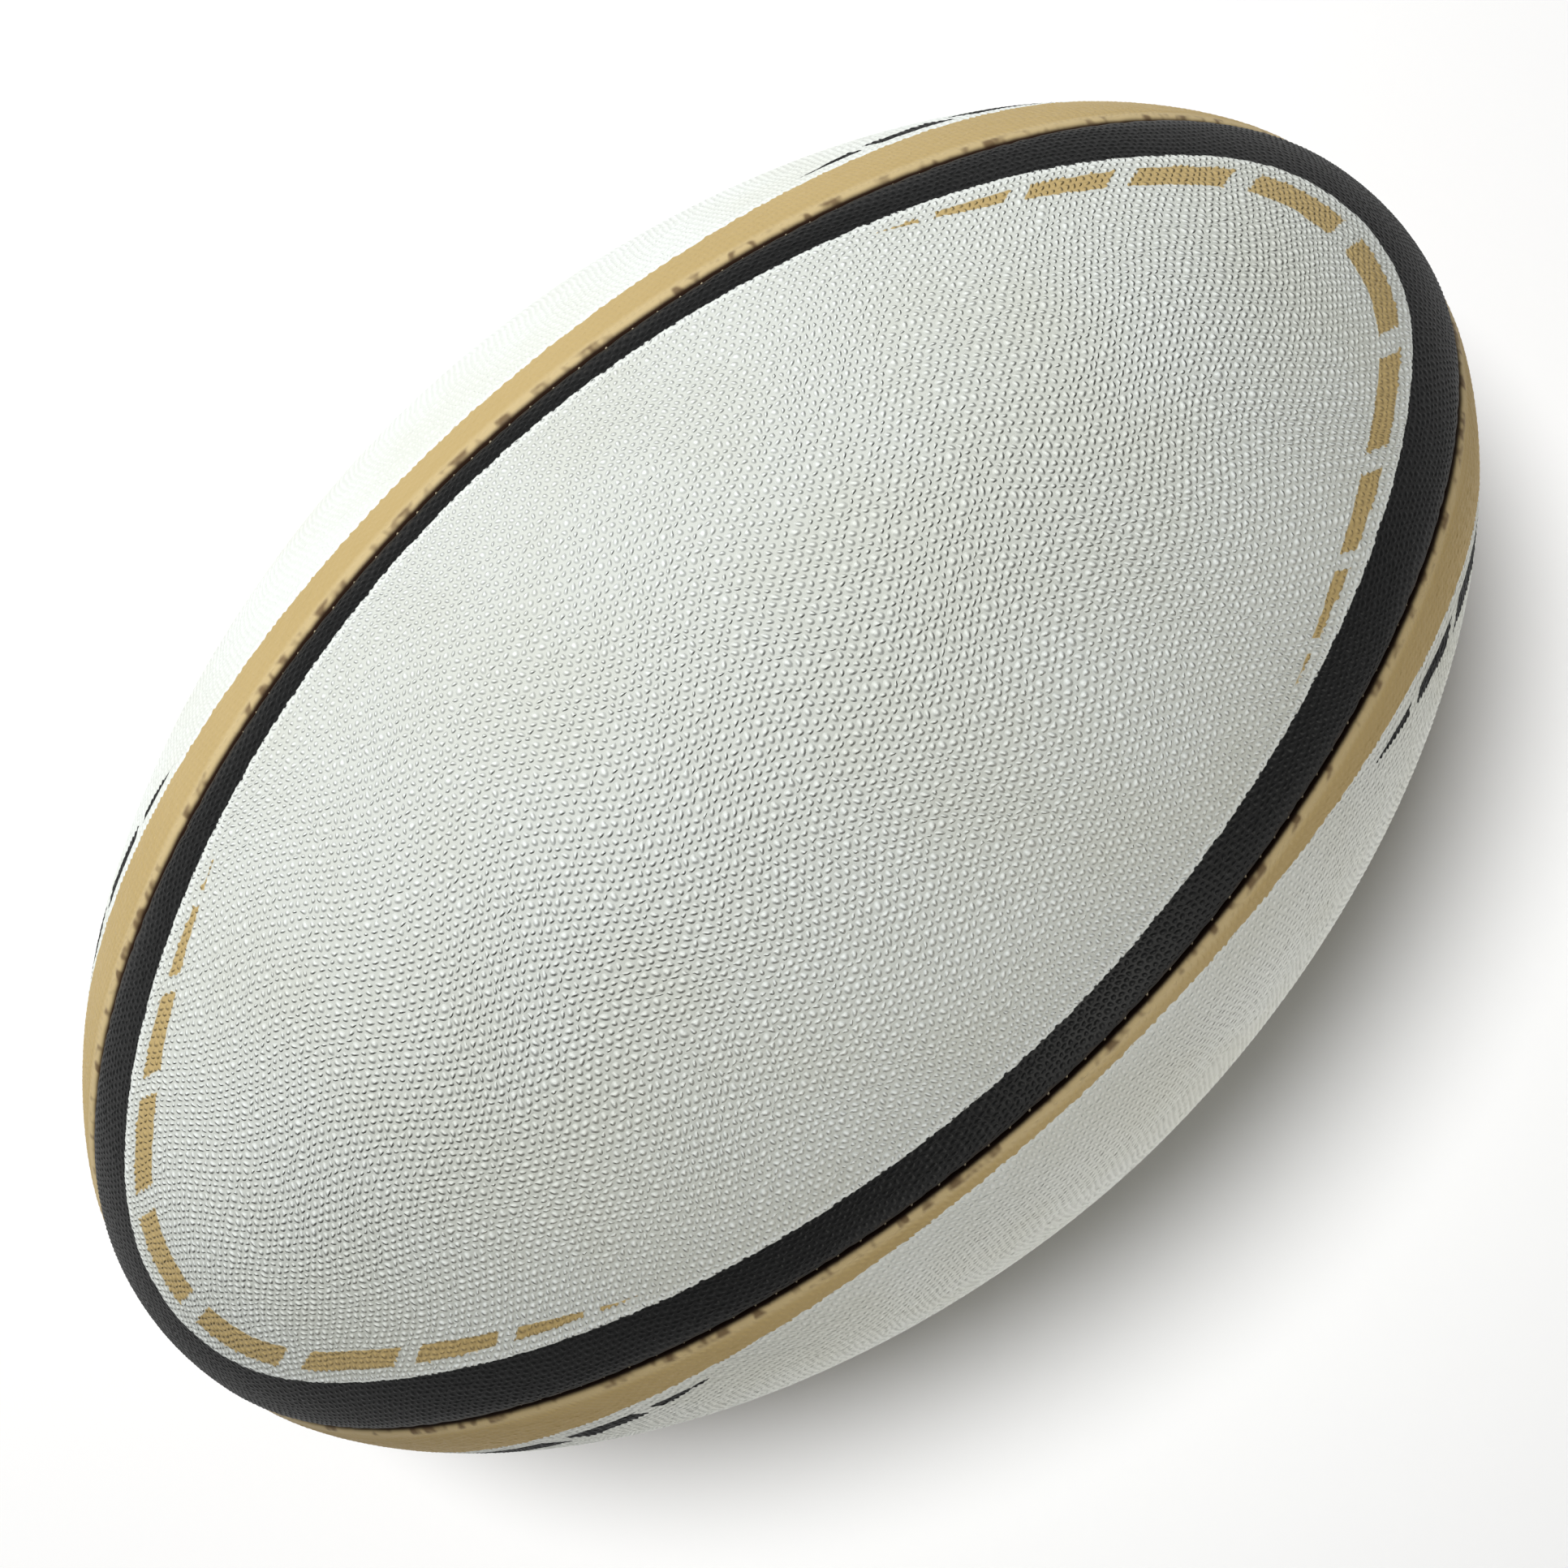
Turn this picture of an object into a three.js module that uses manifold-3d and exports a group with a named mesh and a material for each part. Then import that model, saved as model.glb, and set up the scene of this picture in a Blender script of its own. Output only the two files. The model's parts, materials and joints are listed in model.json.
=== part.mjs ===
// Rugby ball, hand-stitched from four panels, with a laminated casing and an inner bladder.
// Millimetres. The long axis is X, +Z is up, and the origin is the centre of the ball.
import * as THREE from 'three';
import { mergeVertices } from 'three/addons/utils/BufferGeometryUtils.js';
import Module from 'manifold-3d';

// Overall form
const ballLength = 295.4;
const ballWidth = 186;
const endFullness = 1.91; // exponent of the outline: 2 is a plain ellipse, less is more pointed
const restFlatDepth = 0.2; // how far the underside is pressed flat under the ball's weight

// Casing, from the outside in
const skinThickness = 1.2;
const plyThickness = 0.5;
const plyCount = 3;
const layerGap = 0.3; // glue line between any two layers
const bladderThickness = 0.9;

// Seams
const seamGap = 1.5; // between the turned-in edges of two panels
const seamShoulder = 1.0; // bevel where a panel's surface turns into the seam
const threadDiameter = 0.9;
const threadInset = 1.2; // of the thread's centre, from the inner ends of the turned-in edges
const tipRadius = 2.2; // where the panels stop, short of the very end
const taperRadius = 12; // the turned-in edges thin out within this radius of the end

// Valve, on the front panel, along the Y axis
const collarRadius = 6;
const neckRadius = 3.5;
const neckTop = 0.5; // depth of the neck's outer end
const flangeRadius = 12;
const housingRadius = 5.5;
const housingDepth = 20;
const coreRadius = 2;
const coreTop = 0.9;
const coreBottom = 12;
const needleRadius = 0.6;
const needleDepth = 8;
const airwayRadius = 1;
const patchRadius = 19;
const patchThickness = 0.7;
const clearance = 0.3; // between any two pieces that touch

// Fineness of the surfaces, in degrees
const stationAngles = [0, 10, 20, 30, 40, 50, 60, 70, 80];
const tipStationAngle = 85;
const skinStep = 7.5;
const innerStep = 15;
const edgeShare = 0.4; // of a step, the least width left beside a panel's edge
const threadSteps = 32;
const threadSides = 6;
const roundSides = 24;
const mergeDistance = 1e-4;

// Panels, each a quarter of the way round, by the azimuth of its middle
const halfPanel = 45;
const frontAzimuth = 270;
const panels = [
  { name: 'top', azimuth: 0 },
  { name: 'back', azimuth: 90 },
  { name: 'bottom', azimuth: 180 },
  { name: 'front', azimuth: frontAzimuth },
];

// Finishes
const panelFinish = { color: 0xedefeb, roughness: 0.55 };
const clothFinish = { color: 0xd8cfba, roughness: 0.9 };
const threadFinish = { color: 0xe6e0cf, roughness: 0.6 };
const bladderFinish = { color: 0x2a2a2c, roughness: 0.5 };
const valveFinish = { color: 0x1d1d1f, roughness: 0.6 };

// What follows from the values above
const halfLength = ballLength / 2;
const halfWidth = ballWidth / 2;
const casingThickness = skinThickness + plyCount * (layerGap + plyThickness);
const bladderDepth = casingThickness + layerGap;
const threadDepth = casingThickness - threadInset;

const wasm = await Module();
wasm.setup();

const ball = new THREE.Group();

// A point of the outline at the angle given, moved in along the surface's normal by depth.
function outline(angle, depth) {
  const sine = Math.sin(THREE.MathUtils.degToRad(angle));
  const share = Math.abs(sine);
  const radius = halfWidth * Math.max(0, 1 - share ** endFullness) ** (1 / endFullness);
  const slopeX = (Math.sign(sine) * share ** (endFullness - 1)) / halfLength;
  const slopeR = (radius / halfWidth) ** (endFullness - 1) / halfWidth;
  const slope = Math.hypot(slopeX, slopeR);
  return {
    x: halfLength * sine - (depth * slopeX) / slope,
    radius: radius - (depth * slopeR) / slope,
  };
}

// The outline's angle at which its radius is the one given.
function angleAtRadius(radius) {
  const share = (1 - (radius / halfWidth) ** endFullness) ** (1 / endFullness);
  return THREE.MathUtils.radToDeg(Math.asin(share));
}

// A point on a layer. The azimuth turns from +Z towards +Y.
function layerPoint(angle, azimuth, depth) {
  const { x, radius } = outline(angle, depth);
  const turn = THREE.MathUtils.degToRad(azimuth);
  return new THREE.Vector3(x, radius * Math.sin(turn), radius * Math.cos(turn));
}

// Azimuth, from a panel's middle, of a point that lies this far sideways from the seam's plane.
function edgeAzimuth(angle, depth, offset) {
  const { radius } = outline(angle, depth);
  return halfPanel - THREE.MathUtils.radToDeg(Math.asin(offset / radius));
}

// Both halves of a list of angles, in order, with zero once.
function bothWays(angles) {
  const positive = angles.filter((angle) => angle > 0).sort((a, b) => a - b);
  return [...positive.map((angle) => -angle).reverse(), 0, ...positive];
}

// Azimuths between a panel's edges, evenly stepped, with any extra ones, and squeezed together
// near the tips.
function innerAzimuths(step, edge, extra = []) {
  const count = Math.ceil(halfPanel / step) - 1;
  const squeeze = Math.min(1, edge / ((count + edgeShare) * step));
  const steps = Array.from({ length: count }, (_, i) => (i + 1) * step);
  return bothWays([...steps, ...extra]).map((azimuth) => azimuth * squeeze);
}

// The flat that the ball rests on is an octagon on the outline's surface. These are its corners'
// angles along the ball, and the azimuth of its edge at an angle along the ball.
const flatAngle = angleAtRadius(halfWidth - restFlatDepth);
const flatAngles = [flatAngle * Math.SQRT1_2, flatAngle];

function flatAzimuth(angle) {
  const { radius } = outline(Math.min(Math.abs(angle), flatAngles[0]), 0);
  return THREE.MathUtils.radToDeg(Math.acos((halfWidth - restFlatDepth) / radius));
}

// One closed body from a ring of section points at each station along the ball.
function loftPanel(stations, sectionAt) {
  const positions = [];
  const indices = [];
  const sections = stations.map(sectionAt);
  const count = sections[0].length;
  sections.forEach((section, s) => {
    section.forEach(({ azimuth, depth }) => {
      positions.push(...layerPoint(stations[s], azimuth, depth).toArray());
    });
  });
  for (let s = 0; s < stations.length - 1; s += 1) {
    for (let i = 0; i < count; i += 1) {
      const a = s * count + i;
      const b = s * count + ((i + 1) % count);
      indices.push(a, a + count, b, b, a + count, b + count);
    }
  }
  [0, stations.length - 1].forEach((s) => {
    const flat = sections[s].map(({ azimuth, depth }) => {
      const { y, z } = layerPoint(stations[s], azimuth, depth);
      return new THREE.Vector2(y, z);
    });
    THREE.ShapeUtils.triangulateShape(flat, []).forEach(([a, b, c]) => {
      const facing = s === 0 ? [a, c, b] : [a, b, c];
      indices.push(...facing.map((i) => i + s * count));
    });
  });
  const geometry = new THREE.BufferGeometry();
  geometry.setAttribute('position', new THREE.Float32BufferAttribute(positions, 3));
  geometry.setIndex(indices);
  return geometry;
}

// The rubber skin of one panel. Its edges turn in along the seams as deep as the casing.
function skinGeometry(rests) {
  const tipAngle = angleAtRadius(tipRadius);
  const extraAngles = rests ? flatAngles : [];
  const stations = bothWays([...stationAngles, ...extraAngles, tipStationAngle, tipAngle]);
  return loftPanel(stations, (angle) => {
    const taper = Math.min(1, outline(angle, 0).radius / taperRadius);
    const face = seamGap / 2;
    const shoulder = seamShoulder * taper;
    const inside = face + skinThickness * taper;
    const edge = (offset, depth) => ({ azimuth: edgeAzimuth(angle, depth, offset), depth });
    const outerEdge = [edge(face, casingThickness), edge(face, shoulder), edge(face + shoulder, 0)];
    const innerEdge = [edge(inside, casingThickness), edge(inside, skinThickness)];
    const mirrored = (points) => points.map(({ azimuth, depth }) => ({ azimuth: -azimuth, depth }));
    const extraAzimuths = rests ? [flatAzimuth(angle)] : [];
    const across = innerAzimuths(skinStep, outerEdge[2].azimuth, extraAzimuths);
    return [
      ...mirrored(outerEdge),
      ...across.map((azimuth) => ({ azimuth, depth: 0 })),
      ...[...outerEdge].reverse(),
      ...innerEdge,
      ...[...across].reverse().map((azimuth) => ({ azimuth, depth: skinThickness })),
      ...mirrored(innerEdge).reverse(),
    ];
  });
}

// A plain curved sheet that lies between a panel's turned-in edges, at the depth given.
function sheetGeometry(depth, thickness) {
  const offset = seamGap / 2 + skinThickness + clearance;
  return loftPanel(bothWays(stationAngles), (angle) => {
    const outerEdge = edgeAzimuth(angle, depth, offset);
    const innerEdge = edgeAzimuth(angle, depth + thickness, offset);
    const across = innerAzimuths(innerStep, outerEdge);
    return [
      ...[-outerEdge, ...across, outerEdge].map((azimuth) => ({ azimuth, depth })),
      ...[innerEdge, ...[...across].reverse(), -innerEdge].map((azimuth) => ({
        azimuth,
        depth: depth + thickness,
      })),
    ];
  });
}

// A closed round body about the ball's long axis, its surface at the depth given.
function roundBody(depth) {
  const angles = bothWays([...stationAngles, tipStationAngle]);
  const points = angles.map((angle) => {
    const { x, radius } = outline(angle, depth);
    return new THREE.Vector2(radius, x);
  });
  const end = halfLength - depth;
  const profile = [new THREE.Vector2(0, -end), ...points, new THREE.Vector2(0, end)];
  const geometry = new THREE.LatheGeometry(profile, 360 / innerStep);
  return geometry.rotateZ(-Math.PI / 2);
}

// Solids for cutting and joining, from a closed geometry and back again
function toSolid(geometry) {
  const plain = geometry.clone();
  plain.deleteAttribute('normal');
  plain.deleteAttribute('uv');
  const merged = mergeVertices(plain, mergeDistance);
  const vertProperties = new Float32Array(merged.attributes.position.array);
  const triVerts = new Uint32Array(merged.index.array);
  return new wasm.Manifold(new wasm.Mesh({ numProp: 3, vertProperties, triVerts }));
}

function toGeometry(solid) {
  const { vertProperties, triVerts } = solid.getMesh();
  const geometry = new THREE.BufferGeometry();
  geometry.setAttribute('position', new THREE.Float32BufferAttribute(vertProperties, 3));
  geometry.setIndex(Array.from(triVerts));
  return geometry;
}

// Turned shapes on the valve's axis, given as radius and depth below the front panel's surface
function turned(profile) {
  const points = profile.map(([radius, depth]) => new THREE.Vector2(radius, depth - halfWidth));
  return new THREE.LatheGeometry(points, roundSides);
}

function valvePlug(radius) {
  const inward = housingDepth + clearance;
  return toSolid(turned([[0, -inward], [radius, -inward], [radius, inward], [0, inward]]));
}

function addPiece(name, geometry, finish) {
  const material = new THREE.MeshStandardMaterial({ ...finish, metalness: 0 });
  const mesh = new THREE.Mesh(geometry, material);
  mesh.name = name;
  ball.add(mesh);
}

// Pieces sit on each panel by turning about the long axis.
function turnToPanel(geometry, azimuth) {
  return geometry.rotateX(-THREE.MathUtils.degToRad(azimuth));
}

// The skin's points beyond the resting flat are pushed back to it.
function pressFlat(geometry) {
  const { position } = geometry.attributes;
  for (let i = 0; i < position.count; i += 1) {
    position.setZ(i, Math.min(position.getZ(i), halfWidth - restFlatDepth));
  }
  return geometry;
}

function cutForValve(geometry, radius) {
  return toGeometry(toSolid(geometry).subtract(valvePlug(radius)));
}

// Each panel is a rubber skin over its cloth plies.
for (const { name, azimuth } of panels) {
  const hasValve = name === 'front';
  const rests = name === 'bottom';
  const flatSkin = rests ? pressFlat(skinGeometry(true)) : skinGeometry(false);
  let skin = turnToPanel(flatSkin, azimuth);
  if (hasValve) skin = cutForValve(skin, collarRadius + clearance);
  addPiece(`skin_${name}`, skin, panelFinish);

  for (let ply = 1; ply <= plyCount; ply += 1) {
    const depth = skinThickness + layerGap + (ply - 1) * (plyThickness + layerGap);
    let sheet = turnToPanel(sheetGeometry(depth, plyThickness), azimuth);
    if (hasValve) sheet = cutForValve(sheet, collarRadius + clearance);
    addPiece(`cloth_ply_${name}_${ply}`, sheet, clothFinish);
  }
}

// One thread runs the whole length of each seam, down between the turned-in edges.
class SeamCurve extends THREE.Curve {
  constructor(azimuth) {
    super();
    this.azimuth = azimuth;
    this.endAngle = angleAtRadius(2 * tipRadius + threadDiameter);
  }

  getPoint(share, target = new THREE.Vector3()) {
    return target.copy(layerPoint((2 * share - 1) * this.endAngle, this.azimuth, threadDepth));
  }
}

const threadSection = new THREE.Shape(
  Array.from({ length: threadSides }, (_, i) => {
    const turn = (i * 2 * Math.PI) / threadSides;
    return new THREE.Vector2(Math.cos(turn), Math.sin(turn)).multiplyScalar(threadDiameter / 2);
  }),
);

panels.forEach(({ name, azimuth }, i) => {
  const next = panels[(i + 1) % panels.length].name;
  const thread = new THREE.ExtrudeGeometry(threadSection, {
    steps: threadSteps,
    extrudePath: new SeamCurve(azimuth + halfPanel),
  });
  addPiece(`seam_thread_${name}_${next}`, thread, threadFinish);
});

// Bladder, open where the valve's flange is bonded in
const bladder = toSolid(roundBody(bladderDepth))
  .subtract(toSolid(roundBody(bladderDepth + bladderThickness)))
  .subtract(valvePlug(flangeRadius + clearance));
addPiece('bladder', toGeometry(bladder), bladderFinish);

// A round piece of a curved sheet, cut out about the valve's axis
function valveDisc(depth, thickness, radius) {
  const sheet = turnToPanel(sheetGeometry(depth, thickness), frontAzimuth);
  return toSolid(sheet).intersect(valvePlug(radius));
}

const collar = turned([
  [neckRadius + clearance, neckTop],
  [collarRadius, neckTop],
  [collarRadius, casingThickness],
  [neckRadius + clearance, casingThickness],
  [neckRadius + clearance, neckTop],
]);
addPiece('valve_collar', collar, valveFinish);

const boreRadius = coreRadius + clearance;
const boreDepth = coreBottom + clearance;
const flangeDepth = bladderDepth + bladderThickness;
const barrel = turned([
  [boreRadius, neckTop],
  [neckRadius, neckTop],
  [neckRadius, flangeDepth],
  [housingRadius, flangeDepth],
  [housingRadius, housingDepth],
  [airwayRadius, housingDepth],
  [airwayRadius, boreDepth],
  [boreRadius, boreDepth],
  [boreRadius, neckTop],
]);
const flange = valveDisc(bladderDepth, bladderThickness, flangeRadius).subtract(
  valvePlug((neckRadius + boreRadius) / 2),
);
addPiece('valve_housing', toGeometry(toSolid(barrel).add(flange)), valveFinish);

const core = turned([
  [0, needleDepth],
  [needleRadius, needleDepth],
  [needleRadius, coreTop],
  [coreRadius, coreTop],
  [coreRadius, coreBottom],
  [0, coreBottom],
]);
addPiece('valve_core', core, valveFinish);

const patchDepth = bladderDepth + bladderThickness + clearance;
const patch = valveDisc(patchDepth, patchThickness, patchRadius).subtract(
  valvePlug(housingRadius + clearance),
);
addPiece('bladder_valve_patch', toGeometry(patch), bladderFinish);

export default ball;
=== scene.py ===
import json
import math
import random

import bmesh
import bpy
import numpy as np
from mathutils import Matrix, Vector


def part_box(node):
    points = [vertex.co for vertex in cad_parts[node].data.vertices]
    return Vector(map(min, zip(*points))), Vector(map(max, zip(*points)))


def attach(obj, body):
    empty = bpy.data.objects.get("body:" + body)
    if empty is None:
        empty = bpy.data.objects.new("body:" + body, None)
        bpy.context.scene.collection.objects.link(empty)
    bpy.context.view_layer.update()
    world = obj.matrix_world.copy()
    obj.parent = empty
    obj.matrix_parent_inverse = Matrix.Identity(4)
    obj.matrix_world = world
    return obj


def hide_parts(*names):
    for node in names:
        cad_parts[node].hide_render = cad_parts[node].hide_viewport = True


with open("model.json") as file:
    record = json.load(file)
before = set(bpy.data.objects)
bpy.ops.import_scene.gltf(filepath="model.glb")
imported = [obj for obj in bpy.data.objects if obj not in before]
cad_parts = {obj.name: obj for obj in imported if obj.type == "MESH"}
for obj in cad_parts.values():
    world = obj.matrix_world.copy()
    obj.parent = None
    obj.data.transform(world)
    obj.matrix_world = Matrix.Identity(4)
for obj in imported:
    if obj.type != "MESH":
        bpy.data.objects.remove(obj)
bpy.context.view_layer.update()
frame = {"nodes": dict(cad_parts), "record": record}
nodes = frame["nodes"]
scene = bpy.context.scene
mm = 0.001
print("frame loaded:", len(nodes), "nodes")

# The ball's outline, the same as the frame's: a superellipse turned about the X axis.
ball = {
    "fullness": 1.91,       # exponent of the outline: 2 is a plain ellipse
    "tipRadius": 2.2 * mm,  # where the frame's panels stop, short of the very end
    "tableSteps": 12001,
}
panelAzimuths = {"Top": 0, "Back": 90, "Bottom": 180, "Front": 270}  # from +Z towards +Y
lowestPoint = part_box("skin_bottom")[0].z
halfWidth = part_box("skin_top")[1].z
tipShare = 1 - (ball["tipRadius"] / halfWidth) ** ball["fullness"]
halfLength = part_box("skin_top")[1].x / tipShare ** (1 / ball["fullness"])

turns = np.linspace(-math.pi / 2, math.pi / 2, ball["tableSteps"])
shares = np.abs(np.sin(turns))
outlineX = halfLength * np.sin(turns)
outlineR = halfWidth * np.maximum(0, 1 - shares ** ball["fullness"]) ** (1 / ball["fullness"])
slopeX = np.sign(turns) * shares ** (ball["fullness"] - 1) / halfLength
slopeR = (outlineR / halfWidth) ** (ball["fullness"] - 1) / halfWidth
normalX = slopeX / np.hypot(slopeX, slopeR)
normalR = slopeR / np.hypot(slopeX, slopeR)
arcSteps = np.hypot(np.diff(outlineX), np.diff(outlineR))
arc = np.concatenate(([0], np.cumsum(arcSteps)))  # distance along the meridian, 0 in the middle
arc -= arc[-1] / 2


# x and radius at a distance along the meridian, moved in along the normal by depth
def outlineAt(along, depth):
    x = np.interp(along, arc, outlineX) - depth * np.interp(along, arc, normalX)
    radius = np.interp(along, arc, outlineR) - depth * np.interp(along, arc, normalR)
    return x, radius


# The camera looks down on the top panel, from close by, with the ball lying askew.
cameraView = {
    "distance": 379 * mm,
    "sideTilt": 2.55,      # degrees the camera stands off towards the front
    "endTilt": 1.22,       # degrees it stands off towards +X
    "roll": 42.9,          # degrees of the long axis above the level of the view
    "aim": (1.03 * mm, -0.67 * mm),  # off the ball's centre, right and up
    "lens": 47.76,
}


def makeCamera():
    side, end = math.radians(cameraView["sideTilt"]), math.radians(cameraView["endTilt"])
    outward = Vector((math.sin(end), -math.sin(side) * math.cos(end), math.cos(side) * math.cos(end)))
    level = (Vector((1, 0, 0)) - outward * outward.x).normalized()
    upright = outward.cross(level)
    roll = math.radians(cameraView["roll"])
    right = level * math.cos(roll) - upright * math.sin(roll)
    up = level * math.sin(roll) + upright * math.cos(roll)
    place = outward * cameraView["distance"]
    target = right * cameraView["aim"][0] + up * cameraView["aim"][1]
    back = (place - target).normalized()
    right = (right - back * right.dot(back)).normalized()
    up = back.cross(right)
    data = bpy.data.cameras.new("camera")
    data.lens = cameraView["lens"]
    data.clip_start = 0.01
    camera = bpy.data.objects.new("camera", data)
    camera.matrix_world = Matrix.Translation(place) @ Matrix((right, up, back)).transposed().to_4x4()
    scene.collection.objects.link(camera)
    scene.camera = camera


makeCamera()


def addObject(name, mesh):
    item = bpy.data.objects.new(name, mesh)
    scene.collection.objects.link(item)
    return item


def meshPoints(mesh):
    flat = np.empty(len(mesh.vertices) * 3, np.float32)
    mesh.vertices.foreach_get("co", flat)
    return flat.reshape(-1, 3).astype(float)


def setPoints(mesh, points):
    mesh.vertices.foreach_set("co", np.ascontiguousarray(points, np.float32).ravel())
    mesh.polygons.foreach_set("use_smooth", np.ones(len(mesh.polygons), bool))
    mesh.update()


def addAttribute(mesh, name, columns):
    attribute = mesh.attributes.get(name) or mesh.attributes.new(name, "FLOAT_VECTOR", "POINT")
    attribute.data.foreach_set("vector", np.column_stack(columns).astype(np.float32).ravel())


# Stitches are set by hand along a seam, so their spacing and pull vary a little.
stitch = {
    "pitch": 4.4 * mm,
    "phases": (0.1, 0.55, 0.3, 0.8),  # of a pitch, for each seam
    "wander": 1.3 * mm,
    "wanderLength": 8 * mm,
    "wanderShift": 2.1,      # radians from one seam to the next
    "sharpness": 2.2,
    "leastPull": 0.25,
    "tightnessBeat": 7.7,    # radians from one stitch to the next, so that no order shows
    "tightnessShift": 3,     # radians from one seam to the next
}


def stitchCount(along, seam):
    drift = stitch["wander"] * np.sin(along / stitch["wanderLength"] + stitch["wanderShift"] * seam)
    return (along + drift) / stitch["pitch"] - stitch["phases"][seam]


# Highest at each stitch, falling to 0 between two of them
def stitchPull(along, seam):
    count = stitchCount(along, seam)
    wave = 0.5 + 0.5 * np.cos(2 * math.pi * count)
    turn = stitch["tightnessBeat"] * np.round(count) + stitch["tightnessShift"] * seam
    tightness = 0.5 + 0.5 * np.sin(turn)
    return wave ** stitch["sharpness"] * (stitch["leastPull"] + (1 - stitch["leastPull"]) * tightness)


# A panel is cut from pimpled sheet rubber, flat at first, and is then bent onto the ball.
panel = {
    "pitch": 1.36 * mm,
    "rowTurn": math.radians(33),  # of the rows of pimples from the long axis
    "rowGap": math.sqrt(3) / 2,   # of a pitch, so that each pimple has six neighbours
    "cells": (304, 254),
    "jitter": 0.24,               # of a pitch
    "warp": 1.1 * mm,             # slow bends in the rows
    "warpLength": 5.5 * mm,
    "alongWave": (0.9, 0.37, 0),  # beats of a bend and of its own bend, and where that one starts
    "acrossWave": (0.8, 0.41, 2),
    "leastCell": 0.3,             # of a pitch squared: smaller cells stay plain
    "leastHeight": 0.75,          # of a pimple, of the greatest
    "pimpleHeight": 0.17 * mm,
    "edge": 1.7 * mm,             # from the seam's plane, where the fold starts
    "holeRadius": 6.8 * mm,
    "thickness": 1.2 * mm,
    "seamDip": 0.34 * mm,
    "dipWidth": 2.4 * mm,
    "pullDepth": 0.3 * mm,
    "pullWidth": 1.9 * mm,
    "calmWidth": 1.5 * mm,        # beside the fold, where the pimples fade
    "leastCalm": 0.25,
    "lipInside": 1.95 * mm,       # from the seam's plane, where the panel's back starts
    "lipReach": 4 * mm,           # from the seam's plane, where the back is no longer squeezed
    "holdReach": 1.3 * mm,        # past the edge, over which the fold's hold on the points fades
    "foldPull": 0.6,              # of the pull's depth, how far the fold follows it down
    "foldPinch": 0.08 * mm,       # how far a stitch draws the fold away from the seam
    "pinchRows": 6,
    "paintedFoldShadeDepths": (0.4 * mm, 1.2 * mm),  # depth where the fold's painted shade starts, and over how much it grows
    "borderEvenings": 6,
    "cellSmoothings": 4,
    "seed": 7,
}
# How the edge folds in, from the front to the back: distance from the seam's plane, and depth
foldRows = np.array([(1.7, 0.34), (1.25, 0.48), (0.85, 0.72), (0.56, 1.08), (0.4, 1.55),
                     (0.36, 2.0), (0.72, 2.8), (0.75, 3.6), (1.95, 3.6), (1.95, 1.2)]) * mm
# How the edge round the valve rolls in: radius, and depth
holeRows = np.array([(6.8, 0.17), (6.6, 0.2), (6.46, 0.28), (6.36, 0.42), (6.3, 0.6),
                     (6.3, 0.75), (6.3, 0.9), (6.3, 1.05), (6.3, 1.2), (6.5, 1.2)]) * mm
wallRows = len(foldRows) - 1


# Half the width of the flat sheet at a distance along it
def sheetHalfWidth(along):
    _, radius = outlineAt(along, 0)
    lean = np.arcsin(np.clip(panel["edge"] / np.maximum(radius, panel["edge"]), 0, 1))
    return np.where(radius > panel["edge"], radius * (math.pi / 4 - lean), -1)


# Slow bends in the rows, themselves bent a little
def rowBend(wave, first, second):
    beat, ownBeat, start = wave
    return math.sin(beat * first + math.sin(ownBeat * second + start))


# Sheet coordinates (along, across) and depth to a place on a panel that faces +Z
def bendSheet(along, across, depth):
    _, middle = outlineAt(along, 0)
    x, radius = outlineAt(along, depth)
    angle = across / np.maximum(middle, 0.1 * mm)
    return np.column_stack((x, radius * np.sin(angle), radius * np.cos(angle)))


# Distances from the planes of the two seams of a panel that faces +Z
def seamDistances(points):
    return (points[:, 2] - points[:, 1]) / math.sqrt(2), (points[:, 2] + points[:, 1]) / math.sqrt(2)


def turnedTo(points, azimuth):
    turn = math.radians(azimuth)
    y = points[:, 1] * math.cos(turn) + points[:, 2] * math.sin(turn)
    z = points[:, 2] * math.cos(turn) - points[:, 1] * math.sin(turn)
    return np.column_stack((points[:, 0], y, z))


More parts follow.
